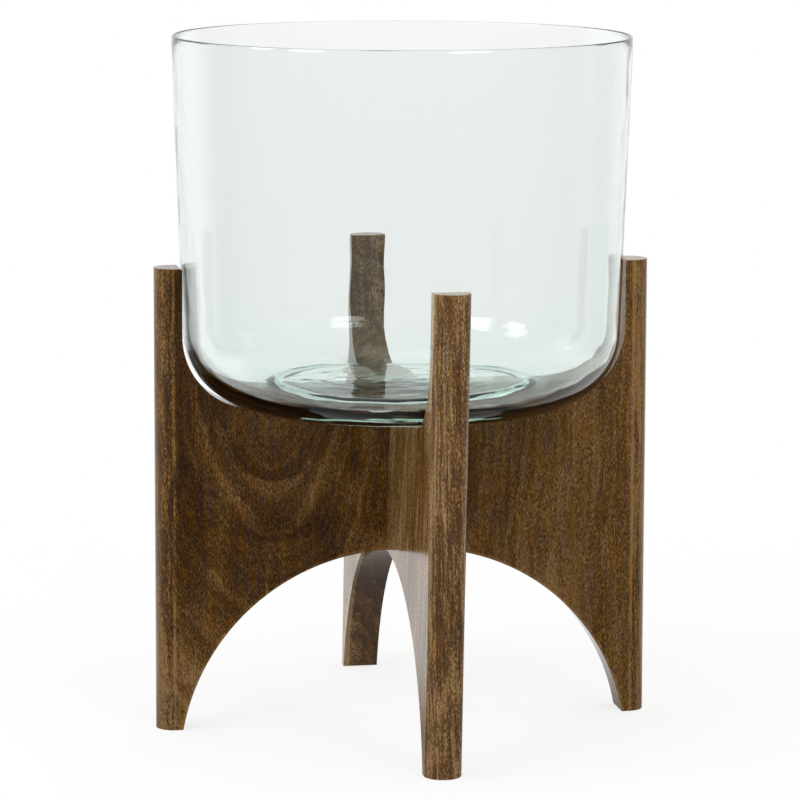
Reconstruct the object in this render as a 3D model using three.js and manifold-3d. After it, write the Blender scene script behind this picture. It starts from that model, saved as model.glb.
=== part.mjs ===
// Footed vase: a clear blown-glass vessel standing in a cross stand of two solid-wood boards.
// Millimetres, +Z up. The origin is on the floor, under the middle of the crossing.
// Each board has an arch cut below and a cradle cut above. The two boards are halved into
// each other at the middle, and the vessel lifts straight out of the cradle.

import * as THREE from 'three';
import { mergeVertices } from 'three/addons/utils/BufferGeometryUtils.js';
import Module from 'manifold-3d';

const wasm = await Module();
wasm.setup();

// Clearances
const lapClearance = 0.3; // each side of a board in the other board's slot, and between slot ends
const seatClearance = 0.3; // under the vessel, above the cradle floor
const cradleClearance = 3.2; // between the vessel's body and the inner face of an upright

// Vessel
const bodyRadius = 120.4; // outside, where the corner meets the straight wall
const rimFlare = 6; // how much further out the rim stands than the body
const vesselHeight = 203;
const cornerRadius = 41; // outside, from the body round to the flat foot
const cornerTightening = 6.5; // how much smaller the inner corner's radius is
const wallAtRim = 2;
const wallAtCorner = 3.9;
const baseThickness = 7; // at the heel, round the pushed-up middle of the base
const floorRise = 4.2; // how far the pushed-up middle stands above the inner floor's edge
const floorCrown = 0.8; // how much further it rises at the very middle
const footRing = 4.4; // width of the flat ring that the base stands on
const kickDepth = 4; // how far the underside is pushed up inside that ring
const pushSlope = 13; // width of the slope round the pushed-up middle, above and below
const pushSpread = 2; // how much wider the slope stands above than below

// Boards
const boardThickness = 20;
const uprightDepth = 14.4; // from the outer edge to the inner face of an upright
const uprightHeight = 78; // cradle floor to the flat tops of the uprights
const webHeight = 80.8; // crown of the arch to the cradle floor
const archHeight = 97.2; // floor to the crown of the arch
const crownWidth = 15; // the flat at the crown, between the two arcs of the arch
const footDepth = 13.9; // from the outer edge to the arch, at the floor
const noseDepth = 8.6; // how far the rounding of an outer edge reaches in along the faces
const edgeEase = 0.8; // sanded edges along the cradle and the arch
const endEase = 1; // sanded edges round the feet and the tops
const lapShare = 0.5; // share of the web that the lower board keeps at the crossing

// Fineness of the curves
const turnSteps = 72;
const cornerSteps = 12;
const archSteps = 16;
const noseSteps = 12;
const easeSteps = 2;
const slopeSteps = 6;
const crownSteps = 5;
const rimSteps = 8;

// Worked out from the sizes above
const innerFace = bodyRadius + cradleClearance;
const halfWidth = innerFace + uprightDepth;
const halfThickness = boardThickness / 2;
const noseRadius = (halfThickness ** 2 + noseDepth ** 2) / (2 * noseDepth);
const cradleHeight = archHeight + webHeight;
const standHeight = cradleHeight + uprightHeight;
const lapHeight = archHeight + webHeight * lapShare;
const archReach = halfWidth - footDepth - crownWidth / 2;
const archRadius = (archReach ** 2 + archHeight ** 2) / (2 * archHeight);

function toSolid(geometry) {
  const bare = geometry.clone();
  bare.deleteAttribute('normal');
  bare.deleteAttribute('uv');
  const merged = mergeVertices(bare, 1e-5);
  return new wasm.Manifold(new wasm.Mesh({
    numProp: 3,
    vertProperties: new Float32Array(merged.attributes.position.array),
    triVerts: new Uint32Array(merged.index.array),
  }));
}

function toGeometry(solid) {
  const { vertProperties, triVerts } = solid.getMesh();
  const geometry = new THREE.BufferGeometry();
  geometry.setAttribute('position', new THREE.BufferAttribute(vertProperties, 3));
  geometry.setIndex(new THREE.BufferAttribute(triVerts, 1));
  geometry.computeVertexNormals();
  return geometry;
}

// Board seen from the front: x across, y up. The right half is walked first, then the left.
function boardOutline() {
  const cornerX = innerFace - cornerRadius;
  const cornerY = cradleHeight + cornerRadius;
  const archX = crownWidth / 2;
  const archY = archHeight - archRadius;
  const springAngle = Math.acos(archReach / archRadius);
  const shape = new THREE.Shape();
  shape.moveTo(halfWidth, 0);
  shape.lineTo(halfWidth, standHeight);
  shape.lineTo(innerFace + endEase, standHeight);
  shape.absarc(innerFace + endEase, standHeight - endEase, endEase, Math.PI / 2, Math.PI, false);
  shape.absarc(cornerX, cornerY, cornerRadius, 0, -Math.PI / 2, true);
  shape.absarc(-cornerX, cornerY, cornerRadius, -Math.PI / 2, -Math.PI, true);
  shape.absarc(-innerFace - endEase, standHeight - endEase, endEase, 0, Math.PI / 2, false);
  shape.lineTo(-halfWidth, standHeight);
  shape.lineTo(-halfWidth, 0);
  shape.absarc(-archX, archY, archRadius, Math.PI - springAngle, Math.PI / 2, true);
  shape.absarc(archX, archY, archRadius, Math.PI / 2, springAngle, true);
  shape.closePath();
  return shape;
}

// Board seen from above: two straight faces and two rounded outer edges
function boardPlan() {
  const endX = halfWidth - noseRadius;
  const shape = new THREE.Shape();
  shape.absarc(endX, 0, noseRadius, -Math.PI / 2, Math.PI / 2, false);
  shape.absarc(-endX, 0, noseRadius, Math.PI / 2, Math.PI * 1.5, false);
  shape.closePath();
  return shape;
}

function eased(shape, length, ease, curveSegments) {
  const geometry = new THREE.ExtrudeGeometry(shape, {
    depth: length - 2 * ease,
    curveSegments,
    bevelEnabled: true,
    bevelThickness: ease,
    bevelSize: ease,
    bevelOffset: -ease,
    bevelSegments: easeSteps,
  });
  geometry.translate(0, 0, ease);
  return geometry;
}

// A block for cutting, given by its lowest and highest corners
function block(low, high) {
  const size = high.clone().sub(low);
  const middle = high.clone().add(low).multiplyScalar(0.5);
  const geometry = new THREE.BoxGeometry(size.x, size.y, size.z);
  geometry.translate(middle.x, middle.y, middle.z);
  return toSolid(geometry);
}

// One board along X, cut to its front outline and to its plan, before its lap slot
function wholeBoard() {
  const face = eased(boardOutline(), boardThickness, edgeEase, archSteps);
  face.rotateX(Math.PI / 2);
  face.translate(0, halfThickness, 0);
  const plan = eased(boardPlan(), standHeight, endEase, noseSteps);
  return toSolid(face).intersect(toSolid(plan));
}

// The slot that lets the other board through, open towards the cradle or the arch
function lapSlot(upwards) {
  const half = halfThickness + lapClearance;
  const reach = halfThickness * 2;
  const low = upwards ? lapHeight - lapClearance / 2 : archHeight - reach;
  const high = upwards ? cradleHeight + reach : lapHeight + lapClearance / 2;
  return block(new THREE.Vector3(-half, -reach, low), new THREE.Vector3(half, reach, high));
}

function arcPoints(centre, radius, from, to, steps) {
  const points = [];
  for (let i = 0; i <= steps; i += 1) {
    const angle = from + ((to - from) * i) / steps;
    const spoke = new THREE.Vector2(Math.cos(angle), Math.sin(angle));
    points.push(spoke.multiplyScalar(radius).add(centre));
  }
  return points;
}

// Direction from a corner's centre to where a wall leaves it. The offset is how far the wall
// runs from the lip's centre: plus for the outer wall, minus for the inner one.
function touchAngle(corner, cornerRound, lip, offset) {
  const across = lip.clone().sub(corner);
  return across.angle() - Math.acos((cornerRound - offset) / across.length());
}

// The slope that ends at the given radius and comes down from the given rise, inside first
function slopePoints(edge, level, rise) {
  const points = [];
  for (let i = 0; i <= slopeSteps; i += 1) {
    const share = i / slopeSteps;
    const height = level + rise * Math.cos((share * Math.PI) / 2) ** 2;
    points.push(new THREE.Vector2(edge - pushSlope * (1 - share), height));
  }
  return points;
}

// Half section of the vessel, from the middle of its underside out, up, over the rim and back in
function vesselProfile() {
  const footRadius = bodyRadius - cornerRadius;
  const kickRadius = footRadius - footRing;
  const points = [new THREE.Vector2(0, kickDepth), ...slopePoints(kickRadius, 0, kickDepth)];

  const lipRadius = wallAtRim / 2;
  const lip = new THREE.Vector2(bodyRadius + rimFlare - lipRadius, vesselHeight - lipRadius);
  const outer = new THREE.Vector2(footRadius, cornerRadius);
  const innerRadius = cornerRadius - cornerTightening;
  const innerX = bodyRadius - wallAtCorner - innerRadius;
  const inner = new THREE.Vector2(innerX, baseThickness + innerRadius);
  const outerTouch = touchAngle(outer, cornerRadius, lip, lipRadius);
  const innerTouch = touchAngle(inner, innerRadius, lip, -lipRadius);
  points.push(...arcPoints(outer, cornerRadius, -Math.PI / 2, outerTouch, cornerSteps));
  points.push(...arcPoints(lip, lipRadius, outerTouch, innerTouch + Math.PI, rimSteps));
  points.push(...arcPoints(inner, innerRadius, innerTouch, -Math.PI / 2, cornerSteps));
  const riseRadius = kickRadius + pushSpread;
  points.push(...slopePoints(riseRadius, baseThickness, floorRise).reverse());
  for (let i = crownSteps - 1; i >= 0; i -= 1) {
    const share = i / crownSteps;
    const crown = floorCrown * Math.cos((share * Math.PI) / 2) ** 2;
    points.push(new THREE.Vector2((riseRadius - pushSlope) * share, baseThickness + floorRise + crown));
  }
  return points;
}

function vesselGeometry() {
  const geometry = new THREE.LatheGeometry(vesselProfile(), turnSteps);
  geometry.rotateX(Math.PI / 2);
  return geometry;
}

const glass = new THREE.MeshStandardMaterial({
  color: 0xe6efea,
  roughness: 0.02,
  metalness: 0,
  transparent: true,
  opacity: 0.35,
});

function stainedWood(color) {
  return new THREE.MeshStandardMaterial({ color, roughness: 0.4, metalness: 0 });
}

function named(name, geometry, material) {
  const mesh = new THREE.Mesh(geometry, material);
  mesh.name = name;
  return mesh;
}

const part = new THREE.Group();

const board = wholeBoard();

// The lower board runs left to right and is slotted from above
part.add(named('lower_board', toGeometry(board.subtract(lapSlot(true))), stainedWood(0x4a3320)));

// The upper board runs front to back and is slotted from below
const upperBoard = named('upper_board', toGeometry(board.subtract(lapSlot(false))), stainedWood(0x5a4028));
upperBoard.rotation.z = Math.PI / 2;
part.add(upperBoard);

const vessel = named('glass_vessel', vesselGeometry(), glass);
vessel.position.z = cradleHeight + seatClearance;
part.add(vessel);

export default part;
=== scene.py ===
import math

import bmesh
import bpy
from mathutils import Matrix, Vector


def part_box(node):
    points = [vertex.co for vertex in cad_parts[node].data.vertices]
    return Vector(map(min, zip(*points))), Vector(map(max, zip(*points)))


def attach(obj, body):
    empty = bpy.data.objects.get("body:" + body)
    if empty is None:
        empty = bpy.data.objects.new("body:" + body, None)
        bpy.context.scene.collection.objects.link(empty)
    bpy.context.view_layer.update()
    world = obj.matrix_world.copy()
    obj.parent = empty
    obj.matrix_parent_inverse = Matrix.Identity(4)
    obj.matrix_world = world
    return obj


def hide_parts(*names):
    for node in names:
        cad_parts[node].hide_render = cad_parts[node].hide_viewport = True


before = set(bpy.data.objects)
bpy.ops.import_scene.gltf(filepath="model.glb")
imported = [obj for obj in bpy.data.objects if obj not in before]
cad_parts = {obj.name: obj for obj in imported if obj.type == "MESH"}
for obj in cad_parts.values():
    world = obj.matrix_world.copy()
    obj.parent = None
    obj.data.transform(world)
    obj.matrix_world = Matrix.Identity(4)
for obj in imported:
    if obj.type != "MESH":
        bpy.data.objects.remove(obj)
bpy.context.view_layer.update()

mm = 0.001


# Small helpers for node trees
def addNode(tree, kind, inputs=None, **settings):
    node = tree.nodes.new(kind)
    for key, value in settings.items():
        setattr(node, key, value)
    for key, value in (inputs or {}).items():
        socket = node.inputs[key]
        if isinstance(value, bpy.types.NodeSocket):
            tree.links.new(value, socket)
        else:
            socket.default_value = value
    return node


def math2(tree, operation, a, b=0.0, clamp=False):
    return addNode(tree, "ShaderNodeMath", {0: a, 1: b}, operation=operation, use_clamp=clamp).outputs[0]


# Passes softly from one value to the other while the input goes from low to high
def fade(tree, value, low, high, least=0.0, most=1.0):
    return addNode(tree, "ShaderNodeMapRange",
                   {"Value": value, "From Min": low, "From Max": high, "To Min": least, "To Max": most},
                   interpolation_type="SMOOTHSTEP").outputs[0]


def lengthOf(tree, vector):
    return addNode(tree, "ShaderNodeVectorMath", {0: vector}, operation="LENGTH").outputs["Value"]


def ramp(tree, value, stops):
    node = addNode(tree, "ShaderNodeValToRGB", {"Fac": value})
    band = node.color_ramp
    while len(band.elements) < len(stops):
        band.elements.new(0.5)
    for element, (place, colour) in zip(band.elements, stops):
        element.position = place
        element.color = (*colour, 1)
    return node.outputs["Color"]


def grey(value):
    return (value, value, value)


def blend(tree, factor, a, b):
    node = addNode(tree, "ShaderNodeMix", data_type="RGBA", clamp_factor=True)
    for key, value in ((0, factor), (6, a), (7, b)):  # a Mix node's two colours are its sockets 6 and 7
        if isinstance(value, bpy.types.NodeSocket):
            tree.links.new(value, node.inputs[key])
        elif key:
            node.inputs[key].default_value = (*value, 1)
        else:
            node.inputs[key].default_value = value
    return node.outputs[2]


def newMaterial(name):
    material = bpy.data.materials.new(name)
    material.use_nodes = True
    material.node_tree.nodes.clear()
    return material, material.node_tree


def whiteLight(tree, strength):
    return addNode(tree, "ShaderNodeEmission", {"Color": (1, 1, 1, 1), "Strength": strength}).outputs[0]


def mixShaders(tree, share, a, b):
    return addNode(tree, "ShaderNodeMixShader", {0: share, 1: a, 2: b}).outputs[0]


# A colour as a picker shows it, 0 to 255, in the linear values that sockets take
def linear(red, green, blue):
    def one(value):
        value /= 255
        return value / 12.92 if value <= 0.04045 else ((value + 0.055) / 1.055) ** 2.4
    return (one(red), one(green), one(blue))


camera = {
    "place": (-0.3725, -2.0020, 0.5136),  # metres from the middle of the crossing, on the floor
    "azimuth": -10.540,  # degrees
    "down": 7.866,
    "roll": 0.1765,
    "lens": 167.85,  # mm
    "sensor": 36,
    "sees": (0.05, 60),  # metres, from and to
    "shiftX": -0.0037,
    "shiftY": -0.1186,
}


def placeCamera(s):
    yaw = math.radians(s["azimuth"])
    down = math.radians(s["down"])
    roll = math.radians(s["roll"])
    forward = Vector((-math.sin(yaw) * math.cos(down), math.cos(yaw) * math.cos(down), -math.sin(down)))
    right = Vector((math.cos(yaw), math.sin(yaw), 0))
    up = right.cross(forward)
    rolledRight = right * math.cos(roll) + up * math.sin(roll)
    rolledUp = up * math.cos(roll) - right * math.sin(roll)
    data = bpy.data.cameras.new("photoCamera")
    data.lens = s["lens"]
    data.sensor_width = s["sensor"]
    data.shift_x = s["shiftX"]
    data.shift_y = s["shiftY"]
    data.clip_start, data.clip_end = s["sees"]
    held = bpy.data.objects.new("photoCamera", data)
    bpy.context.scene.collection.objects.link(held)
    turn = Matrix((rolledRight, rolledUp, -forward)).transposed()
    held.matrix_world = Matrix.Translation(s["place"]) @ turn.to_4x4()
    bpy.context.scene.camera = held


placeCamera(camera)
print("camera placed")


studio = {
    "roomLight": 0.60,  # soft light from all round, as dull surfaces get it
    "front": 0.30,  # how bright the room in front of the object looks in gloss
    "above": 0.40,  # and the room overhead
    "horizon": (0.30, 0.75),  # where the front turns into the white background, as a share of +Y
    "ceiling": (0.3, 0.8),  # where the front turns into the room overhead, as a share of +Z
    "floorRadius": 0.75,
    "floorSides": 96,
    "floorFade": (0.30, 0.62),  # metres from the object over which the floor turns plain white
    "floorColour": 0.30,
    "floorLift": 0.765,  # its own light, which leaves little but the shadow darker than white
    "floorBounce": 0.35,  # light that the floor gives back to the object
    "floorFront": 0.25,  # how bright the floor in front of the object looks in gloss
    "floorBehind": (-0.05, 0.15),  # metres along Y over which that turns white
    "lamps": {  # degrees left of the front, degrees up, metres away, size across and up, watts
        "frontRight": (-24, 31, 2.6, (1.0, 0.55), 6.5),
        "frontLeft": (60, 31, 2.6, (0.9, 0.75), 9),
        "sideLeft": (87, 30, 2.6, (0.75, 0.7), 6),
        "overhead": (180, 86, 2.2, (1.4, 1.2), 4),
    },
    "lampsAim": (0, 0, 0.2),
    "clothSize": 3.0,
    "clothDrift": 0.32,  # how far the cloth's unevenness moves a lamp's edges
    "clothFull": 0.2,  # share of a lamp's half width that is fully bright
    "clothGain": 1.95,
    "unmirrored": ("overhead",),  # lamps that shiny things do not show
}


# Three ways a ray can come to the room: lighting dull wood, mirrored once on the way, or seen straight
# or through glass. Light that is mirrored more often has run along inside the glass, and stays white.
def waysSeen(tree):
    path = addNode(tree, "ShaderNodeLightPath").outputs
    dull = math2(tree, "GREATER_THAN", path["Diffuse Depth"], 0.5)
    mirrored = math2(tree, "MULTIPLY", math2(tree, "GREATER_THAN", path["Glossy Depth"], 0.5),
                     math2(tree, "LESS_THAN", path["Glossy Depth"], 1.5))
    straight = math2(tree, "MAXIMUM", path["Is Camera Ray"], path["Is Transmission Ray"])
    return dull, math2(tree, "MAXIMUM", mirrored, math2(tree, "SUBTRACT", 1.0, straight))


def buildWorld(s):
    world = bpy.data.worlds.new("studioRoom")
    bpy.context.scene.world = world
    world.use_nodes = True
    tree = world.node_tree
    tree.nodes.clear()
    dull, mirrored = waysSeen(tree)
    direction = addNode(tree, "ShaderNodeTexCoord").outputs["Generated"]
    part = addNode(tree, "ShaderNodeSeparateXYZ", {0: direction}).outputs
    behind = fade(tree, part["Y"], *s["horizon"])
    overhead = fade(tree, part["Z"], *s["ceiling"])
    room = blend(tree, overhead, grey(s["front"]), grey(s["above"]))
    seen = blend(tree, mirrored, grey(1.0), blend(tree, behind, room, grey(1.0)))
    colour = blend(tree, dull, seen, grey(s["roomLight"]))
    background = addNode(tree, "ShaderNodeBackground", {"Color": colour, "Strength": 1.0})
    out = addNode(tree, "ShaderNodeOutputWorld")
    tree.links.new(background.outputs[0], out.inputs["Surface"])


def buildFloor(s):
    disc = bmesh.new()
    bmesh.ops.create_circle(disc, cap_ends=True, segments=s["floorSides"], radius=s["floorRadius"])
    mesh = bpy.data.meshes.new("studioFloor")
    disc.to_mesh(mesh)
    disc.free()
    floor = bpy.data.objects.new("studioFloor", mesh)
    bpy.context.scene.collection.objects.link(floor)
    material, tree = newMaterial("paleFloor")
    dull, mirrored = waysSeen(tree)
    place = addNode(tree, "ShaderNodeTexCoord").outputs["Object"]
    far = fade(tree, lengthOf(tree, place), *s["floorFade"])
    pale = addNode(tree, "ShaderNodeBsdfDiffuse", {"Color": (*grey(s["floorColour"]), 1)}).outputs[0]
    near = addNode(tree, "ShaderNodeAddShader", {0: pale, 1: whiteLight(tree, s["floorLift"])}).outputs[0]
    shown = mixShaders(tree, far, near, whiteLight(tree, 1.0))
    depth = addNode(tree, "ShaderNodeSeparateXYZ", {0: place}).outputs["Y"]
    level = fade(tree, depth, *s["floorBehind"], s["floorFront"], 1.0)
    seen = mixShaders(tree, mirrored, shown, whiteLight(tree, level))
    bounced = addNode(tree, "ShaderNodeBsdfDiffuse", {"Color": (*grey(s["floorBounce"]), 1)}).outputs[0]
    final = mixShaders(tree, dull, seen, bounced)
    out = addNode(tree, "ShaderNodeOutputMaterial")
    tree.links.new(final, out.inputs["Surface"])
    mesh.materials.append(material)


# A lamp behind a cloth: bright in the middle, unevenly fading towards its edges
def softenLamp(data, s):
    data.use_nodes = True
    tree = data.node_tree
    tree.nodes.clear()
    place = addNode(tree, "ShaderNodeNewGeometry").outputs["Parametric"]
    uneven = addNode(tree, "ShaderNodeTexNoise",
                     {"Vector": place, "Scale": s["clothSize"], "Detail": 2.0}).outputs["Color"]
    moved = addNode(tree, "ShaderNodeVectorMath", {0: uneven, 1: (s["clothDrift"],) * 3, 2: place},
                    operation="MULTIPLY_ADD").outputs[0]
    parts = addNode(tree, "ShaderNodeSeparateXYZ", {0: moved}).outputs
    middle = 0.5 + 0.5 * s["clothDrift"]
    fades = []
    for axis in "XY":
        off = math2(tree, "ABSOLUTE", math2(tree, "SUBTRACT", parts[axis], middle))
        fades.append(fade(tree, off, 0.5, s["clothFull"]))
    strength = math2(tree, "MULTIPLY", math2(tree, "MULTIPLY", *fades), s["clothGain"])
    out = addNode(tree, "ShaderNodeOutputLight")
    tree.links.new(whiteLight(tree, strength), out.inputs["Surface"])


def hangLamps(s):
    for name, (turn, height, away, size, power) in s["lamps"].items():
        data = bpy.data.lights.new(name, "AREA")
        data.shape = "RECTANGLE"
        data.size, data.size_y = size
        data.energy = power
        softenLamp(data, s)
        held = bpy.data.objects.new(name, data)
        turn, height = math.radians(turn), math.radians(height)
        flat = math.cos(height)
        out = Vector((-math.sin(turn) * flat, -math.cos(turn) * flat, math.sin(height)))
        held.location = Vector(s["lampsAim"]) + out * away
        held.rotation_euler = (-out).to_track_quat("-Z", "Y").to_euler()
        held.visible_glossy = name not in s["unmirrored"]
        bpy.context.scene.collection.objects.link(held)


buildWorld(studio)
buildFloor(studio)
hangLamps(studio)
bpy.context.scene.view_settings.view_transform = "Standard"
print("studio ready")


# Stained wood: the lower board's look, then what differs on the upper board
lowerWood = {
    "turned": 0,  # degrees about the upright axis that bring the board's length onto X
    "seed": 21.4,
    "noises": {  # repeats per metre across, through and up; detail, roughness, start, distortion
        "wander": ((16, 16, 8), 2, 0.5, 2.7, 0),
        "smoke": ((15, 20, 10), 3, 0.55, 3.1, 0.9),
        "broad": ((62, 14, 4), 2, 0.5, 1.3, 0),
        "thin": ((420, 60, 14), 2, 0.6, 6.6, 0),
        "arcs": ((250, 20, 5), 1, 0.5, 2.2, 0),
        "patches": ((95, 30, 24), 2, 0.5, 8.8, 0.6),
        "streaks": ((260, 260, 12), 3, 0.6, 7.7, 0.2),
        "veins": ((700, 700, 45), 2, 0.6, 4.4, 0),
        "fibre": ((2300, 2300, 600), 1, 0.6, 5.2, 0),
        "pores": ((1700, 1700, 260), 1, 0.5, 9.4, 0),
        "warm": ((150, 150, 34), 2, 0.6, 11.3, 0),
    },
    "bands": {  # where each begins, and where it is full
        "nose": (-0.0004, 0.0008),  # metres past noseFrom
        "line": (-0.0022, -0.0010),
        # the stripe of painted shade on the rounding, in metres past noseFrom
        "shadeStripe": (0.0015, 0.0045),
        # the outer part of the rounding, where painted sheen lightens it, in metres past noseFrom
        "sheenTip": (0.0030, 0.0084),
        "faceEdge": (0.0082, 0.0094),  # metres from the middle of the thickness
        "archEdge": (0.0004, 0.0020),  # metres beyond the arc of the arch
        "archGlow": (0.001, 0.012),
        "archInside": (0.0003, 0.0012),
        "foot": (0.03, 0.12),  # metres up
        "calm": (-0.02, 0.04),  # metres to the right of the middle
        "arcs": (0.59, 0.66),  # shares of the noise that each is made from
        "arcSmoke": (0.30, 0.50),
        "glowSmoke": (0.4, 0.65),
        "patches": (0.56, 0.64),
        "pores": (0.30, 0.42),
        "lineVeins": (0.30, 0.55),
        "dyeVeins": (0.3, 0.7),
    },
    "wander": 0.016,  # metres from side to side
    "slant": 0.02,
    "skew": (0.7, 0.37),  # how far the fine grain leans through the board and up it
    "figureAt": (-0.072, 0.200),  # where the nested arches of the grain have their middle
    "figureSlope": 0.48,
    "ringDepth": 0.35,  # how fast the rings shift through the thickness
    "ringSmoke": 0.014,  # metres that the smoky noise pushes them
    "noseFrom": 0.1294,  # metres from the middle to where the outer edge starts to round
    "archArc": (0.0075, -0.0213, 0.1185),  # the arch's centre and radius, in metres
    "tone": 0.56,  # 0 is the darkest stain, 1 the lightest; the next ones are added to it
    "toneSlope": 1.0,  # per metre to the right
    "calmRight": 0.45,  # share of smoke, patches and arcs that is left on the right half
    "smoke": 0.75,
    "broad": 0.52,
    "rings": 0.35,
    "arcs": 0.13,
    "patches": -0.14,
    "streaks": 0.38,
    "veins": 0.34,
    "fibre": 1.6,
    "noseStreaks": 1.1,
    "noseVeins": 1.0,
    "noseFibre": 0.7,
    "noseBlotches": 0.5,
    "noseTone": 0.085,
    # painted shade: darkens the stripe of the rounding just past the worn line
    "noseStripeShade": -0.10,
    # painted sheen: lightens the outer part of the rounding
    "sheenTipTone": 0.24,
    "pits": 0.15,
    "wornLine": 0.38,
    "lineLeast": 0.35,  # share of the worn line that shows where it is weakest
    "wornArch": 0.22,
    "archGlow": 0.10,
    "archTone": 0.35,
    "footTone": 0.085,
    "footSlope": -1.1,  # lightens the left foot and darkens the right one
    "hueShift": 0.03,
    "saturation": (0.85, 1.15),
    "noseRed": 0.12,  # share of the nose colour on the rounded outer edge
    # painted sheen: a share of the paler nose colour on that outer part
    "sheenTipShare": 0.35,
    "noseColour": linear(140, 112, 84),
    "stain": [(0.0, linear(42, 23, 6)), (0.3, linear(68, 41, 12)), (0.5, linear(93, 61, 23)),
              (0.72, linear(125, 88, 43)), (1.0, linear(174, 136, 90))],
    "relief": 0.6,
    "reliefStrength": 0.16,
    "reliefHeight": 0.0004,
    "roughness": (0.34, 0.48),  # in the dark and in the light streaks
    "ior": 1.5,
    "sheen": 0.0,  # the bare wood's own mirroring, which the lacquer covers
    "lacquer": 1.0,
    "lacquerRoughness": 0.14,
    "lacquerIor": 1.3,
}
upperWood = {
    **lowerWood,
    "turned": -90,
    "seed": 8.2,
    "slant": -0.015,
    "figureAt": (0.090, 0.330),
    "tone": 0.755,
    "toneSlope": 0.0,
    "calmRight": 1.0,
    "fibre": 1.45,
    "smoke": 0.55,
    "broad": 0.6,
    "arcs": 0.06,
    "patches": -0.08,
    "streaks": 0.7,
    "veins": 0.45,
    "pits": 0.20,
    "archTone": -0.2,
    "noseStreaks": 0.7,
    "noseVeins": 0.9,
    "noseFibre": 0.35,
    "noseTone": -0.035,
    # the painted-shade stripe, lightened here instead
    "noseStripeShade": 0.10,
    # the outer part that carries painted sheen on the lower board, a little darker here
    "sheenTipTone": -0.04,
    "footTone": 0.06,
    "footSlope": 0.0,
    "noseRed": 0.28,
    "sheenTipShare": 0.0,
    "noseColour": linear(124, 94, 70),
    "stain": [(0.0, linear(42, 23, 6)), (0.3, linear(68, 41, 12)), (0.5, linear(93, 61, 23)),
              (0.72, linear(125, 88, 43)), (0.86, linear(152, 114, 66)), (1.0, linear(205, 170, 126))],
}


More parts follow.
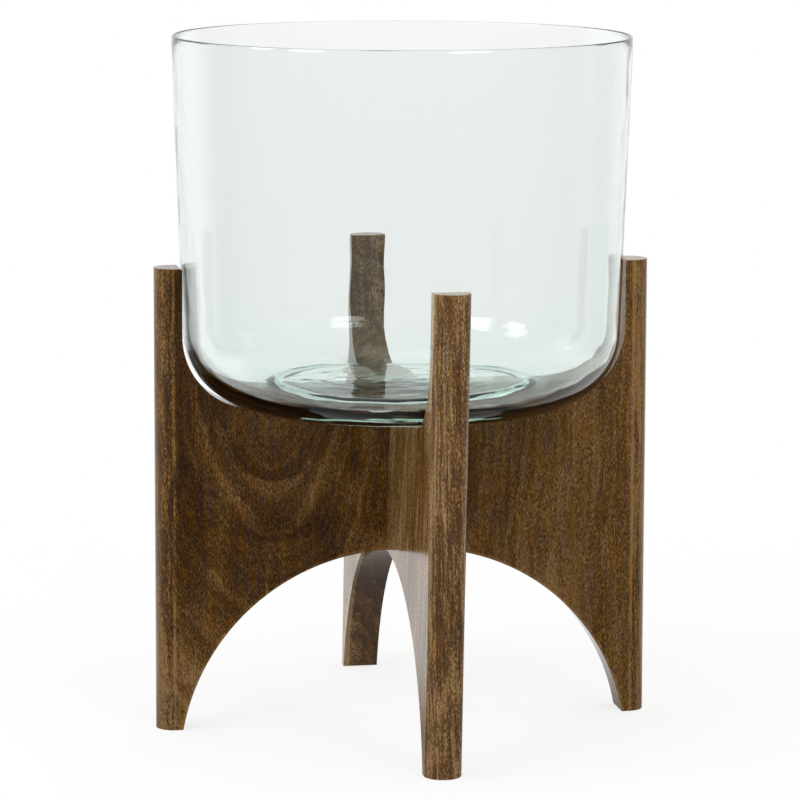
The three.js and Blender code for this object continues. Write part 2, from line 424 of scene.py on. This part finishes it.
def stainedWood(name, s):
    material, tree = newMaterial(name)
    place = addNode(tree, "ShaderNodeTexCoord").outputs["Object"]
    turned = addNode(tree, "ShaderNodeMapping",
                     {"Vector": place, "Rotation": (0, 0, math.radians(s["turned"]))}).outputs[0]
    axes = addNode(tree, "ShaderNodeSeparateXYZ", {0: turned}).outputs
    across, through, up = axes["X"], axes["Y"], axes["Z"]

    def plus(a, b, clamp=False):
        return math2(tree, "ADD", a, b, clamp)

    def minus(a, b, clamp=False):
        return math2(tree, "SUBTRACT", a, b, clamp)

    def times(a, b):
        return math2(tree, "MULTIPLY", a, b)

    def centred(value):
        return minus(value, 0.5)

    def noise(vector, layer):
        scale, detail, rough, start, warp = s["noises"][layer]
        moved = addNode(tree, "ShaderNodeVectorMath", {0: vector, 1: scale, 2: (start, s["seed"], start)},
                        operation="MULTIPLY_ADD").outputs[0]
        return addNode(tree, "ShaderNodeTexNoise",
                       {"Vector": moved, "Scale": 1.0, "Detail": detail, "Roughness": rough,
                        "Distortion": warp}).outputs["Fac"]

    def span(value, band, least=0.0, most=1.0, start=0.0):
        low, high = s["bands"][band]
        return fade(tree, value, start + low, start + high, least, most)

    def short(value, band, start=0.0):
        return minus(1.0, span(value, band, start=start))

    def distance(x, z):
        return lengthOf(tree, addNode(tree, "ShaderNodeCombineXYZ", {"X": x, "Z": z}).outputs[0])

    # the grain wanders a little from side to side on its way up
    wander = times(centred(noise(turned, "wander")), s["wander"])
    slanted = plus(plus(across, wander), times(up, s["slant"]))
    leanThrough, leanUp = s["skew"]
    grain = addNode(tree, "ShaderNodeCombineXYZ",
                    {"X": slanted, "Y": plus(through, times(slanted, leanThrough)),
                     "Z": plus(up, times(slanted, leanUp))}).outputs[0]

    # growth rings, cut flat: they stand as nested arches round one middle
    smoke = noise(turned, "smoke")
    figureX, figureZ = s["figureAt"]
    ring = distance(minus(slanted, figureX), times(minus(up, figureZ), s["figureSlope"]))
    ring = plus(plus(ring, times(through, s["ringDepth"])), times(smoke, s["ringSmoke"]))
    arches = addNode(tree, "ShaderNodeCombineXYZ", {"X": ring, "Y": through, "Z": up}).outputs[0]
    broad = noise(arches, "broad")
    thin = noise(arches, "thin")
    arcs = times(span(noise(arches, "arcs"), "arcs"), span(smoke, "arcSmoke"))
    patch = span(noise(arches, "patches"), "patches")

    # fine grain
    streak = noise(grain, "streaks")
    vein = noise(grain, "veins")
    fibre = noise(grain, "fibre")
    pore = noise(grain, "pores")
    warm = noise(grain, "warm")

    # the rounded outer edge: its own tone, its worn line, a stripe of painted shade just past that line and a
    # painted sheen on its outer part; the worn eased edges of the arch, a lighter band beside the arch, the
    # arch's own cut face and the feet
    side = math2(tree, "ABSOLUTE", across)
    edge = s["noseFrom"]
    nose = span(side, "nose", start=edge)
    # painted shade: a stripe on the rounding just past the worn line
    shadeStripe = times(nose, short(side, "shadeStripe", edge))
    # painted sheen: the outer part of the rounding, lighter and greyer
    sheenTip = span(side, "sheenTip", start=edge)
    line = times(span(side, "line", start=edge), minus(1.0, nose))
    line = times(line, span(vein, "lineVeins", s["lineLeast"], 1.0))
    archX, archZ, archRadius = s["archArc"]
    beyond = minus(distance(minus(side, archX), minus(up, archZ)), archRadius)
    edgeOnly = span(math2(tree, "ABSOLUTE", through), "faceEdge")
    archEdge = times(short(beyond, "archEdge"), edgeOnly)
    archGlow = times(short(beyond, "archGlow"), span(smoke, "glowSmoke"))
    inside = times(short(beyond, "archInside"), minus(1.0, edgeOnly))
    low = short(up, "foot")
    footTone = plus(times(across, s["footSlope"]), s["footTone"])

    calm = span(across, "calm", 1.0, s["calmRight"])
    tone = plus(times(across, s["toneSlope"]), s["tone"])
    for value, share in ((centred(smoke), s["smoke"]), (patch, s["patches"]), (arcs, s["arcs"])):
        tone = plus(tone, times(calm, times(value, share)))
    for value, share in (
            (centred(broad), s["broad"]), (centred(thin), s["rings"]), (centred(streak), s["streaks"]),
            (centred(vein), s["veins"]), (centred(fibre), s["fibre"]),
            (times(centred(streak), nose), s["noseStreaks"]), (times(centred(vein), nose), s["noseVeins"]),
            (times(centred(fibre), nose), s["noseFibre"]), (times(centred(warm), nose), s["noseBlotches"]),
            (nose, s["noseTone"]), (shadeStripe, s["noseStripeShade"]), (sheenTip, s["sheenTipTone"]), (line, s["wornLine"]),
            (archEdge, s["wornArch"]), (archGlow, s["archGlow"]), (inside, s["archTone"]), (low, footTone)):
        tone = plus(tone, times(value, share))
    tone = minus(tone, span(pore, "pores", s["pits"], 0.0), True)
    hue = plus(times(centred(warm), s["hueShift"]), 0.5)
    dyed = addNode(tree, "ShaderNodeHueSaturation",
                   {"Hue": hue, "Saturation": span(vein, "dyeVeins", *s["saturation"]),
                    "Color": ramp(tree, tone, s["stain"])}).outputs[0]
    # the nose colour on the rounded edge, and as painted sheen on its outer part
    bareAndSheen = plus(times(nose, s["noseRed"]), times(sheenTip, s["sheenTipShare"]), True)
    colour = blend(tree, bareAndSheen, dyed, s["noseColour"])

    relief = plus(times(fibre, s["relief"]), times(pore, s["relief"]))
    bump = addNode(tree, "ShaderNodeBump", {"Height": relief, "Strength": s["reliefStrength"],
                                            "Distance": s["reliefHeight"]}).outputs[0]
    smooth, rough = s["roughness"]
    gloss = addNode(tree, "ShaderNodeMapRange", {"Value": streak, "To Min": smooth, "To Max": rough}).outputs[0]
    shader = addNode(tree, "ShaderNodeBsdfPrincipled",
                     {"Base Color": colour, "Roughness": gloss, "Normal": bump, "IOR": s["ior"],
                      "Specular IOR Level": s["sheen"], "Coat Weight": s["lacquer"],
                      "Coat Roughness": s["lacquerRoughness"], "Coat IOR": s["lacquerIor"]})
    out = addNode(tree, "ShaderNodeOutputMaterial")
    tree.links.new(shader.outputs[0], out.inputs["Surface"])
    return material


# Both boards, in mm; the sizes that the frame does not give are repeated here
board = {
    "uprightDepth": 14.4,
    "cornerRadius": 41.0,
    "cradleHeight": 178.0,
    "archHeight": 97.2,
    "crownWidth": 15.0,
    "footDepth": 13.9,
    "noseDepth": 8.6,
    "edgeEase": 0.9,
    "footEase": 2.0,
    "easeSteps": 3,
    "easedFrom": 35,  # degrees between two faces from which their edge is eased
    "sharpFrom": 50,  # and from which it is shaded sharp
    "topRound": 1.2,
    "topSteps": 4,
    "lapHeight": 137.6,
    "lapGap": 0.16,
    "lapPlain": 2.5,  # beside the slot, where no edge is eased
    "archSteps": 90,
    "cornerSteps": 40,
    "noseSteps": 9,
    "lean": 0.9,  # degrees that the front-to-back board stands out of plumb
    "leanPivot": 128.0,
}


def arc(centreX, centreZ, radius, start, end, steps):
    turns = [start + (end - start) * i / steps for i in range(steps + 1)]
    return [(centreX + radius * math.cos(a), centreZ + radius * math.sin(a)) for a in turns]


def boardOutline(s, halfWidth, top, halfThick, slotFromAbove, slotLean):
    inner = halfWidth - s["uprightDepth"]
    seat = s["cradleHeight"]
    big = s["cornerRadius"]
    ease = s["topRound"]
    quarter = math.pi / 2
    reach = halfWidth - s["footDepth"] - s["crownWidth"] / 2
    radius = (reach ** 2 + s["archHeight"] ** 2) / (2 * s["archHeight"])
    spring = math.acos(reach / radius)
    crown = s["crownWidth"] / 2
    slot = halfThick + s["lapGap"]

    def leaned(x, z):
        return (x + slotLean * (z - s["leanPivot"]), z)

    points = [(halfWidth, 0), (halfWidth, top)]
    points += arc(inner + ease, top - ease, ease, quarter, math.pi, s["topSteps"])
    points += arc(inner - big, seat + big, big, 0, -quarter, s["cornerSteps"])
    if slotFromAbove:
        points += [leaned(slot, seat), leaned(slot, s["lapHeight"] - s["lapGap"])]
        points += [leaned(-slot, s["lapHeight"] - s["lapGap"]), leaned(-slot, seat)]
    points += arc(-inner + big, seat + big, big, -quarter, -math.pi, s["cornerSteps"])
    points += arc(-inner - ease, top - ease, ease, 0, quarter, s["topSteps"])
    points += [(-halfWidth, top), (-halfWidth, 0)]
    low = s["archHeight"] - radius
    left = arc(-crown, low, radius, math.pi - spring, quarter, s["archSteps"])
    right = arc(crown, low, radius, quarter, spring, s["archSteps"])
    if slotFromAbove:
        points += left + right
    else:
        mouth = low + math.sqrt(radius ** 2 - (slot - crown) ** 2)
        near = slot + 0.05  # points of the arch that nearly touch the slot are left out
        slotEnd = s["lapHeight"] + s["lapGap"]
        points += [p for p in left if p[0] < -near] + [(-slot, mouth), (-slot, slotEnd)]
        points += [(slot, slotEnd), (slot, mouth)] + [p for p in right if p[0] > near]
    return points


def makeBoard(name, s, node, along, slotFromAbove, lean):
    low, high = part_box(node)
    halfWidth = (high[along] - low[along]) / 2 / mm
    halfThick = (high[1 - along] - low[1 - along]) / 2 / mm
    top = high[2] / mm
    noseRadius = (halfThick ** 2 + s["noseDepth"] ** 2) / (2 * s["noseDepth"])
    noseCentre = halfWidth - noseRadius
    slotLean = lean if slotFromAbove else 0
    outline = boardOutline(s, halfWidth, top, halfThick, slotFromAbove, slotLean)
    fine, coarse = 1e-4, 1e-3  # mm, how near two points are taken as one

    mesh = bmesh.new()
    ring = [mesh.verts.new((x, 0, z)) for x, z in outline]
    mesh.faces.new(ring)
    bmesh.ops.remove_doubles(mesh, verts=mesh.verts[:], dist=fine)
    widest = math.asin(halfThick / noseRadius)
    for i in range(s["noseSteps"]):
        x = noseCentre + noseRadius * math.cos(widest * (1 - i / s["noseSteps"]))
        for side in (-1, 1):
            everything = mesh.verts[:] + mesh.edges[:] + mesh.faces[:]
            bmesh.ops.bisect_plane(mesh, geom=everything, plane_co=(side * x, 0, 0), plane_no=(1, 0, 0),
                                   dist=fine)

    def halfDepth(x):
        if abs(x) <= halfWidth - s["noseDepth"] + fine:
            return halfThick
        return math.sqrt(max(noseRadius ** 2 - (abs(x) - noseCentre) ** 2, 0))

    rim = [tuple(e.verts) for e in mesh.edges if len(e.link_faces) == 1]
    copy = bmesh.ops.duplicate(mesh, geom=mesh.verts[:] + mesh.edges[:] + mesh.faces[:])
    twin = copy["vert_map"]
    backs = set(v for v in copy["geom"] if isinstance(v, bmesh.types.BMVert))
    for vert in mesh.verts:
        vert.co.y = halfDepth(vert.co.x) if vert in backs else -halfDepth(vert.co.x)
    for a, b in rim:
        if min(abs(a.co.x), abs(b.co.x)) < halfWidth - coarse:  # the tip of the nose closes by itself
            mesh.faces.new((a, b, twin[b], twin[a]))
    bmesh.ops.remove_doubles(mesh, verts=mesh.verts[:], dist=coarse)
    bmesh.ops.dissolve_degenerate(mesh, dist=fine, edges=mesh.edges[:])
    bmesh.ops.recalc_face_normals(mesh, faces=mesh.faces[:])

    # the feet are eased most, the other edges less, and those of the slot not at all
    weight = mesh.edges.layers.float.new("bevel_weight_edge")
    slot = halfThick + s["lapGap"] + s["lapPlain"]
    spare = 0.5
    for edge in mesh.edges:
        if len(edge.link_faces) == 2 and edge.calc_face_angle(0) > math.radians(s["easedFrom"]):
            middle = (edge.verts[0].co + edge.verts[1].co) / 2
            inWeb = s["archHeight"] + spare < middle.z < s["cradleHeight"] - spare
            if max(v.co.z for v in edge.verts) < spare:
                edge[weight] = 1
            elif abs(middle.x) > slot or not inWeb:
                edge[weight] = s["edgeEase"] / s["footEase"]
    for vert in mesh.verts:
        x, y, z = vert.co
        if along == 1:
            x, y = -y + lean * (z - s["leanPivot"]), x
        vert.co = (x * mm, y * mm, z * mm)
    data = bpy.data.meshes.new(name)
    mesh.to_mesh(data)
    mesh.free()
    data.shade_smooth()
    data.set_sharp_from_angle(angle=math.radians(s["sharpFrom"]))
    rough = bpy.data.objects.new(name + "Rough", data)
    bpy.context.scene.collection.objects.link(rough)
    ease = rough.modifiers.new("ease", "BEVEL")
    ease.limit_method = "WEIGHT"
    ease.width = s["footEase"] * mm
    ease.segments = s["easeSteps"]
    ease.use_clamp_overlap = True
    rough.modifiers.new("shade", "WEIGHTED_NORMAL").keep_sharp = False
    return settle(rough, name)


# The finished mesh, with the modifiers worked in, as an object of its own
def settle(rough, name):
    bpy.context.view_layer.update()
    graph = bpy.context.evaluated_depsgraph_get()
    data = bpy.data.meshes.new_from_object(rough.evaluated_get(graph), preserve_all_data_layers=True,
                                           depsgraph=graph)
    data.name = name
    bpy.data.objects.remove(rough)
    made = bpy.data.objects.new(name, data)
    bpy.context.scene.collection.objects.link(made)
    return made


def dress(piece, material):
    piece.data.materials.clear()
    piece.data.materials.append(material)


lean = math.tan(math.radians(board["lean"]))
lowerBoard = makeBoard("lowerBoard", board, "lower_board", 0, True, lean)
dress(lowerBoard, stainedWood("darkStainedWood", lowerWood))
upperBoard = makeBoard("upperBoard", board, "upper_board", 1, False, lean)
dress(upperBoard, stainedWood("lightStainedWood", upperWood))
print("boards made:", len(lowerBoard.data.polygons), len(upperBoard.data.polygons), "faces")


# The glass vessel, in mm where nothing else is said
vessel = {
    "bodyRadius": 120.4,
    "rimFlare": 6.0,
    "cornerRadius": 41.0,
    "cornerTightening": 6.5,
    "restsLeft": 0.9,  # the loose glass stands a little left of the middle of its cradle
    "wallAtRim": 1.3,
    "rimGround": (14, 19.5),  # degrees: how steep the ground outer edge of the rim is, below and at the lip
    "rimRound": 15.0,
    "rimShoulder": 3.0,
    "groundHeading": -100.5,  # degrees: the middle of the part of the rim that is ground
    "groundArc": (52, 62),  # degrees to each side of it: fully ground within, not at all beyond
    "plainRim": {  # what differs where the rim is not ground
        "wallAtRim": 1.7, "rimFlare": 5.4, "rimGround": (0.2, 3), "rimRound": 6.0, "rimShoulder": 300.0},
    "wallAtCorner": 3.2,
    "baseThickness": 7.0,  # at the heel, round the pushed-up middle of the base
    "innerFloor": [(3.2, 68, 77.5), (1.2, 0, 64)],  # rises of the inner floor: height, full within, gone beyond
    "underside": [(2.4, 60, 78.8)],
    "floorSteps": 70,
    "cornerSteps": 40,
    "wallSteps": 40,
    "lipSteps": (8, 12, 12),
    "stepsAround": 256,
    "wallWave": 0.10,  # hand-blown unevenness of the wall
    "waveSize": 95.0,  # per metre
    "waveTall": 0.7,  # less than 1 draws the waves out upwards
    "waveEnds": (1, 12),  # how far below the rim the waves stop, and how much lower they are full
    "baseRipple": 0.65,
    "rippleSize": 90.0,  # per metre
    "rippleTurns": 1.6,  # how much the ripples change on their way round
    "rippleLevel": (4, 30),  # how far up the ripples are full, and how much higher they are gone
    "rippleRadius": (4, 20),  # none within, full beyond
    "seed": 4.0,
    "ior": 1.5,
    "absorbs": (0.10, 0.56, 0.38),  # what passes of red, green and blue, at full density
    "density": 22.0,
    "lampsThrough": 0.86,  # light that each surface lets on to what stands behind
}


# Half section of the vessel, from the middle of its underside out, up, over the rim and back in
def vesselProfile(s, height):
    foot = s["bodyRadius"] - s["cornerRadius"]
    quarter = math.pi / 2

    def steps(r, rises):  # each rise is full inside its first radius and gone outside its second
        level = 0
        for rise, full, gone in rises:
            level += rise * math.cos(min(max((r - full) / (gone - full), 0), 1) * quarter) ** 2
        return level

    footSteps = [foot * i / s["floorSteps"] for i in range(s["floorSteps"])]
    points = [(r, steps(r, s["underside"])) for r in footSteps]
    gentle, steep = [math.radians(a) for a in s["rimGround"]]
    lipRound, bevelRound, shoulderRound = s["wallAtRim"] / 2, s["rimRound"], s["rimShoulder"]
    shoulderX = s["bodyRadius"] + s["rimFlare"] - shoulderRound
    bevelX = shoulderX - (bevelRound - shoulderRound) * math.cos(gentle)
    lipX = bevelX + (bevelRound - lipRound) * math.cos(steep)
    lipZ = height - lipRound
    bevelZ = lipZ - (bevelRound - lipRound) * math.sin(steep)
    shoulderZ = bevelZ + (bevelRound - shoulderRound) * math.sin(gentle)
    innerRound = s["cornerRadius"] - s["cornerTightening"]
    innerX = s["bodyRadius"] - s["wallAtCorner"] - innerRound
    innerZ = s["baseThickness"] + innerRound

    # where a straight wall leaves a corner's arc on its way to the rim
    def touch(x, z, radius, toX, toZ, offset):
        return math.atan2(toZ - z, toX - x) - math.acos((radius - offset) / math.hypot(toX - x, toZ - z))

    outerTouch = touch(foot, s["cornerRadius"], s["cornerRadius"], shoulderX, shoulderZ, shoulderRound)
    innerTouch = touch(innerX, innerZ, innerRound, lipX, lipZ, -lipRound)

    def straight(a, b):
        count = s["wallSteps"]
        return [(a[0] + (b[0] - a[0]) * i / count, a[1] + (b[1] - a[1]) * i / count) for i in range(1, count)]

    shoulderSteps, bevelSteps, lipSteps = s["lipSteps"]
    outerCorner = arc(foot, s["cornerRadius"], s["cornerRadius"], -quarter, outerTouch, s["cornerSteps"])
    lip = arc(shoulderX, shoulderZ, shoulderRound, outerTouch, gentle, shoulderSteps)
    lip += arc(bevelX, bevelZ, bevelRound, gentle, steep, bevelSteps)[1:]
    lip += arc(lipX, lipZ, lipRound, steep, innerTouch + math.pi, lipSteps)[1:]
    innerCorner = arc(innerX, innerZ, innerRound, innerTouch, -quarter, s["cornerSteps"])
    points += outerCorner
    points += straight(outerCorner[-1], lip[0]) + lip
    points += straight(lip[-1], innerCorner[0]) + innerCorner
    for i in range(s["floorSteps"] - 1, -1, -1):
        r = innerX * i / s["floorSteps"]
        points.append((r, s["baseThickness"] + steps(r, s["innerFloor"])))
    return points


# Turns the profile round the upright axis, and gives the wall its waves and the base its ripples
def turningTree():
    tree = bpy.data.node_groups.new("vesselTurning", "GeometryNodeTree")
    face = tree.interface
    face.new_socket("Geometry", in_out="INPUT", socket_type="NodeSocketGeometry")
    face.new_socket("Steps Around", in_out="INPUT", socket_type="NodeSocketInt")
    for name in ("Ground Heading", "Ground Full", "Ground Ends",
                 "Wall Wave", "Wave Size", "Wave Tall", "Rim Level", "Wave Fade",
                 "Base Ripple", "Ripple Size", "Ripple Turns", "Base Level", "Ripple Fade",
                 "Ripple Inner Radius", "Ripple Outer Radius", "Seed"):
        face.new_socket(name, in_out="INPUT", socket_type="NodeSocketFloat")
    face.new_socket("Glass", in_out="INPUT", socket_type="NodeSocketMaterial")
    face.new_socket("Geometry", in_out="OUTPUT", socket_type="NodeSocketGeometry")
    given = addNode(tree, "NodeGroupInput").outputs

    def calc(operation, a, b=0.0):
        return math2(tree, operation, a, b)

    count = addNode(tree, "GeometryNodeAttributeDomainSize", {"Geometry": given["Geometry"]}, component="MESH")
    rows = count.outputs["Point Count"]
    columns = calc("ADD", given["Steps Around"], 1)
    grid = addNode(tree, "GeometryNodeMeshGrid",
                   {"Size X": 1.0, "Size Y": 1.0, "Vertices X": columns, "Vertices Y": rows}).outputs["Mesh"]
    place = addNode(tree, "GeometryNodeInputPosition").outputs[0]
    part = addNode(tree, "ShaderNodeSeparateXYZ", {0: place}).outputs
    turn = calc("MULTIPLY", calc("ADD", part["X"], 0.5), 2 * math.pi)
    row = calc("ROUND", calc("MULTIPLY", calc("ADD", part["Y"], 0.5), calc("SUBTRACT", rows, 1)))

    def taken(value):
        return addNode(tree, "GeometryNodeSampleIndex",
                       {"Geometry": given["Geometry"], "Value": value, "Index": row},
                       data_type="FLOAT_VECTOR", domain="POINT").outputs[0]

    # the rim's outer edge is ground only on one side
    facing = calc("COSINE", calc("SUBTRACT", turn, given["Ground Heading"]))
    ground = fade(tree, facing, given["Ground Ends"], given["Ground Full"])
    groundPlace = taken(addNode(tree, "GeometryNodeInputPosition").outputs[0])
    plainPlace = taken(addNode(tree, "GeometryNodeInputNamedAttribute", {"Name": "plainRim"},
                               data_type="FLOAT_VECTOR").outputs["Attribute"])
    mixed = addNode(tree, "ShaderNodeMix", {0: ground, 4: plainPlace, 5: groundPlace},
                    data_type="VECTOR").outputs[1]  # its two vectors are sockets 4 and 5
    half = addNode(tree, "ShaderNodeSeparateXYZ", {0: mixed}).outputs
    turned = addNode(tree, "ShaderNodeCombineXYZ",
                     {"X": calc("MULTIPLY", half["X"], calc("COSINE", turn)),
                      "Y": calc("MULTIPLY", half["X"], calc("SINE", turn)), "Z": half["Z"]}).outputs[0]
    shaped = addNode(tree, "GeometryNodeSetPosition", {"Geometry": grid, "Position": turned}).outputs[0]
    closed = addNode(tree, "GeometryNodeMergeByDistance",  # joins the seam and both middles
                     {"Geometry": shaped, "Distance": 1e-6}).outputs[0]

    here = addNode(tree, "GeometryNodeInputPosition").outputs[0]
    normal = addNode(tree, "GeometryNodeInputNormal").outputs[0]
    level = addNode(tree, "ShaderNodeSeparateXYZ", {0: here}).outputs
    outward = addNode(tree, "ShaderNodeCombineXYZ", {"X": level["X"], "Y": level["Y"]}).outputs[0]
    radius = lengthOf(tree, outward)
    unit = addNode(tree, "ShaderNodeVectorMath", {0: outward}, operation="NORMALIZE").outputs[0]
    heading = addNode(tree, "ShaderNodeSeparateXYZ", {0: unit}).outputs

    # slow waves in the wall, fading out towards the rim
    tall = addNode(tree, "ShaderNodeCombineXYZ",
                   {"X": level["X"], "Y": level["Y"], "Z": calc("MULTIPLY", level["Z"], given["Wave Tall"])})
    slow = addNode(tree, "ShaderNodeTexNoise",
                   {"Vector": tall.outputs[0], "W": given["Seed"], "Scale": given["Wave Size"], "Detail": 1.0,
                    "Roughness": 0.4}, noise_dimensions="4D").outputs["Fac"]
    wave = calc("MULTIPLY", calc("SUBTRACT", slow, 0.5), given["Wall Wave"])
    waveFull = calc("SUBTRACT", given["Rim Level"], given["Wave Fade"])
    wave = calc("MULTIPLY", wave, fade(tree, level["Z"], given["Rim Level"], waveFull))

    # ripples that run round the base, as the glass was turned
    along = addNode(tree, "ShaderNodeCombineXYZ",
                    {"X": calc("MULTIPLY", radius, given["Ripple Size"]),
                     "Y": calc("MULTIPLY", level["Z"], given["Ripple Size"]),
                     "Z": calc("MULTIPLY", heading["X"], given["Ripple Turns"])}).outputs[0]
    drift = calc("ADD", calc("MULTIPLY", heading["Y"], given["Ripple Turns"]), given["Seed"])
    rippling = addNode(tree, "ShaderNodeTexNoise",
                       {"Vector": along, "W": drift, "Scale": 1.0, "Detail": 2.0, "Roughness": 0.5,
                        "Distortion": 0.4}, noise_dimensions="4D").outputs["Fac"]
    ripple = calc("MULTIPLY", calc("SUBTRACT", rippling, 0.5), given["Base Ripple"])
    ripple = calc("MULTIPLY", ripple,
                  fade(tree, radius, given["Ripple Inner Radius"], given["Ripple Outer Radius"]))
    rippleEnds = calc("ADD", given["Base Level"], given["Ripple Fade"])
    ripple = calc("MULTIPLY", ripple, fade(tree, level["Z"], rippleEnds, given["Base Level"]))
    push = addNode(tree, "ShaderNodeVectorMath", {0: normal, "Scale": calc("ADD", wave, ripple)},
                   operation="SCALE").outputs[0]
    waved = addNode(tree, "GeometryNodeSetPosition", {"Geometry": closed, "Offset": push}).outputs[0]
    smooth = addNode(tree, "GeometryNodeSetShadeSmooth", {"Geometry": waved}).outputs[0]
    real = addNode(tree, "GeometryNodeRealizeInstances", {"Geometry": smooth}).outputs[0]
    dressed = addNode(tree, "GeometryNodeSetMaterial",
                      {"Geometry": real, "Material": given["Glass"]}).outputs[0]
    out = addNode(tree, "NodeGroupOutput")
    tree.links.new(dressed, out.inputs[0])
    return tree


def runTree(name, tree, mesh, values):
    rough = bpy.data.objects.new(name + "Rough", mesh)
    bpy.context.scene.collection.objects.link(rough)
    modifier = rough.modifiers.new(name, "NODES")
    modifier.node_group = tree
    sockets = {i.name: i.identifier for i in tree.interface.items_tree if i.in_out == "INPUT"}
    for key, value in values.items():
        modifier[sockets[key]] = value
    return settle(rough, name)


def clearGlass(s):
    material, tree = newMaterial("clearGreyGreenGlass")
    bent = addNode(tree, "ShaderNodeBsdfPrincipled",
                   {"Base Color": (1, 1, 1, 1), "Roughness": 0.0, "IOR": s["ior"],
                    "Transmission Weight": 1.0}).outputs[0]
    tint = addNode(tree, "ShaderNodeVolumeAbsorption", {"Color": (*s["absorbs"], 1), "Density": s["density"]})
    lampRay = addNode(tree, "ShaderNodeLightPath").outputs["Is Shadow Ray"]
    clear = addNode(tree, "ShaderNodeBsdfTransparent", {"Color": (*grey(s["lampsThrough"]), 1)}).outputs[0]
    out = addNode(tree, "ShaderNodeOutputMaterial")
    tree.links.new(mixShaders(tree, lampRay, bent, clear), out.inputs["Surface"])
    tree.links.new(tint.outputs[0], out.inputs["Volume"])
    return material


glassLow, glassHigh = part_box("glass_vessel")
glassHeight = (glassHigh.z - glassLow.z) / mm
profile = bpy.data.meshes.new("vesselProfile")
groundPoints, plainPoints = [
    [(x * mm, 0, z * mm + glassLow.z) for x, z in vesselProfile(s, glassHeight)]
    for s in (vessel, {**vessel, **vessel["plainRim"]})]
profile.from_pydata(groundPoints, [(i, i + 1) for i in range(len(groundPoints) - 1)], [])
plain = profile.attributes.new("plainRim", "FLOAT_VECTOR", "POINT")
for i, point in enumerate(plainPoints):
    plain.data[i].vector = point
groundFull, groundEnds = [math.cos(math.radians(a)) for a in vessel["groundArc"]]
waveStop, waveFade = vessel["waveEnds"]
rippleFull, rippleFade = vessel["rippleLevel"]
rippleInner, rippleOuter = vessel["rippleRadius"]
glass = clearGlass(vessel)
glassVessel = runTree("glassVessel", turningTree(), profile, {
    "Steps Around": vessel["stepsAround"],
    "Ground Heading": math.radians(vessel["groundHeading"]),
    "Ground Full": groundFull,
    "Ground Ends": groundEnds,
    "Wall Wave": vessel["wallWave"] * mm,
    "Wave Size": vessel["waveSize"],
    "Wave Tall": vessel["waveTall"],
    "Rim Level": glassHigh.z - waveStop * mm,
    "Wave Fade": waveFade * mm,
    "Base Ripple": vessel["baseRipple"] * mm,
    "Ripple Size": vessel["rippleSize"],
    "Ripple Turns": vessel["rippleTurns"],
    "Base Level": glassLow.z + rippleFull * mm,
    "Ripple Fade": rippleFade * mm,
    "Ripple Inner Radius": rippleInner * mm,
    "Ripple Outer Radius": rippleOuter * mm,
    "Seed": vessel["seed"],
    "Glass": glass,
})
dress(glassVessel, glass)
glassVessel.data.transform(Matrix.Translation((-vessel["restsLeft"] * mm, 0, 0)))
print("vessel turned:", len(glassVessel.data.polygons), "faces")


# Onto the frame
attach(lowerBoard, "stand")
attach(upperBoard, "stand")
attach(glassVessel, "vessel")
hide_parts("lower_board")
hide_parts("upper_board")
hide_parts("glass_vessel")
